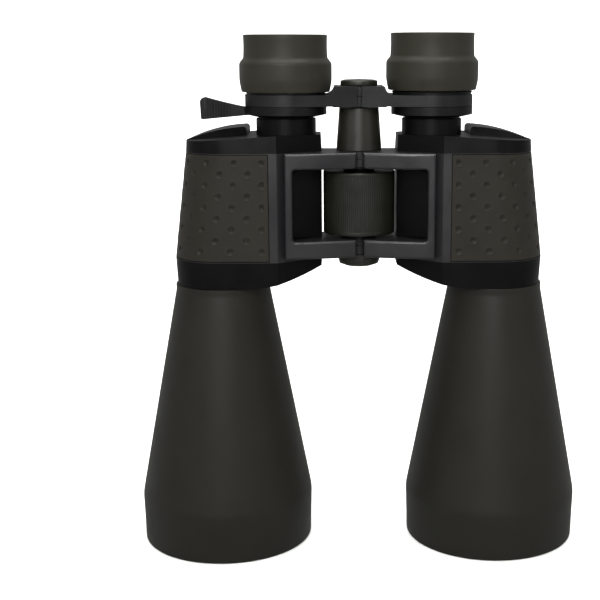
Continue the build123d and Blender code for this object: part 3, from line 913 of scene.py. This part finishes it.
def dress_shown_nodes() -> int:
    """Gives every CAD node that is still shown its own finish.

    Returns:
        How many nodes were dressed.
    """
    count = 0
    for node, thing in frame["nodes"].items():
        material = FINISH_OF_SLOT[slot_of(node)].material()
        if not thing.material_slots:
            thing.data.materials.append(material)
        for slot in thing.material_slots:
            slot.material = material
        count += 1
    return count


# ---- Studio --------------------------------------------------------------------------------
@dataclass
class Studio:
    """Paper sweep, soft lights and the camera."""

    half_width: float = 3000.0
    front_y: float = -1500.0
    wall_y: float = 1100.0
    bend_r: float = 500.0
    wall_top: float = 2600.0
    bend_steps: int = 24
    world_strength: float = 0.3
    sensor_mm: float = 36.0
    lens_mm: float = 70.794
    shift_x: float = -59.0 / 600.0
    eye_place: tuple[float, float, float] = (-15.7, -602.9, 257.2)
    tilt_down: float = 12.15
    turn_right: float = 1.49553

    def floor(self) -> None:
        """Builds the sweep: floor, quarter bend and wall, kept out of the dark parts' gloss."""
        bend = np.linspace(0.0, math.pi / 2, self.bend_steps)
        y = np.concatenate(
            [[self.front_y], self.wall_y - self.bend_r + self.bend_r * np.sin(bend), [self.wall_y]]
        )
        z = np.concatenate([[0.0], self.bend_r * (1 - np.cos(bend)), [self.wall_top]])
        x = np.array([-self.half_width, self.half_width])
        grid_x, grid_y = np.meshgrid(x, y, indexing="ij")
        grid_z = np.broadcast_to(z, grid_y.shape)
        points = np.stack([grid_x, grid_y, grid_z], axis=-1).reshape(-1, 3)
        number = np.arange(2 * len(y)).reshape(2, len(y))
        faces = np.stack(
            [number[0, :-1], number[1, :-1], number[1, 1:], number[0, 1:]], axis=-1
        )
        sweep = make_piece("paper_sweep", points, faces)
        sweep.data.materials.append(PAPER.material())
        sweep.visible_glossy = False

    def light(
        self,
        name: str,
        place: tuple[float, float, float],
        size: float,
        watts: float,
        target: tuple[float, float, float] = (0.0, 0.0, 150.0),
    ) -> None:
        """Hangs a square soft box.

        Args:
            name: the lamp's name.
            place: its centre in mm.
            size: its side in mm.
            watts: its power.
            target: the point that it faces, in mm.
        """
        lamp = bpy.data.lights.new(name, "AREA")
        lamp.shape = "SQUARE"
        lamp.size = size * MM
        lamp.energy = watts
        thing = bpy.data.objects.new(name, lamp)
        bpy.context.scene.collection.objects.link(thing)
        spot = np.array(place) * MM
        aim = np.array(target) * MM - spot
        thing.location = spot.tolist()
        thing.rotation_mode = "QUATERNION"
        thing.rotation_quaternion = Vector(aim.tolist()).to_track_quat("-Z", "Y")

    def lights(self) -> None:
        """Sets the pale surroundings, the soft boxes and a plain tone curve."""
        bpy.context.scene.view_settings.view_transform = "Standard"
        world = bpy.data.worlds.new("pale_studio")
        bpy.context.scene.world = world
        world.use_nodes = True
        background = world.node_tree.nodes["Background"]
        background.inputs["Color"].default_value = (1.0, 1.0, 1.0, 1.0)
        background.inputs["Strength"].default_value = self.world_strength
        self.light("front_soft_box", (-120.0, -1200.0, 750.0), 600.0, 16.0)
        self.light("left_soft_box", (-1100.0, -900.0, 700.0), 700.0, 2.5)
        self.light("right_soft_box", (1100.0, -900.0, 700.0), 700.0, 2.5)
        self.light("top_soft_box", (0.0, -100.0, 1700.0), 1200.0, 20.0)
        self.light("wall_wash", (0.0, 250.0, 1500.0), 900.0, 26.0, (0.0, 1100.0, 350.0))

    def camera(self) -> None:
        """Sets the camera a little above the wheel and left of the hinge, looking down."""
        lens = bpy.data.cameras.new("camera")
        lens.sensor_width = self.sensor_mm
        lens.lens = self.lens_mm
        lens.shift_x = self.shift_x
        lens.clip_start, lens.clip_end = 0.05, 20.0
        eye = bpy.data.objects.new("camera", lens)
        bpy.context.scene.collection.objects.link(eye)
        bpy.context.scene.camera = eye
        tilt, turn = math.radians(self.tilt_down), math.radians(self.turn_right)
        eye.location = (np.array(self.eye_place) * MM).tolist()
        eye.rotation_euler = (math.pi / 2 - tilt, 0.0, -turn)


Assembly = ObjectiveBarrel | PrismHousing | GripPad | Eyepiece | FocusWheel | HingeLine


def main() -> None:
    """Builds the studio and every sub-assembly."""
    logging.basicConfig(level=logging.INFO, format="%(name)s: %(message)s")
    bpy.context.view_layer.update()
    studio = Studio()
    studio.camera()
    studio.lights()
    studio.floor()
    LOG.info("dressed %d nodes", dress_shown_nodes())
    assemblies: list[Assembly] = []
    for side in Side:
        assemblies += [ObjectiveBarrel(side), PrismHousing(side), GripPad(side), Eyepiece(side)]
    assemblies += [FocusWheel(), HingeLine()]
    for assembly in assemblies:
        for piece in assembly.build():
            LOG.info("%s: %s", type(assembly).__name__, piece.name)


if __name__ == "__main__":
    main()
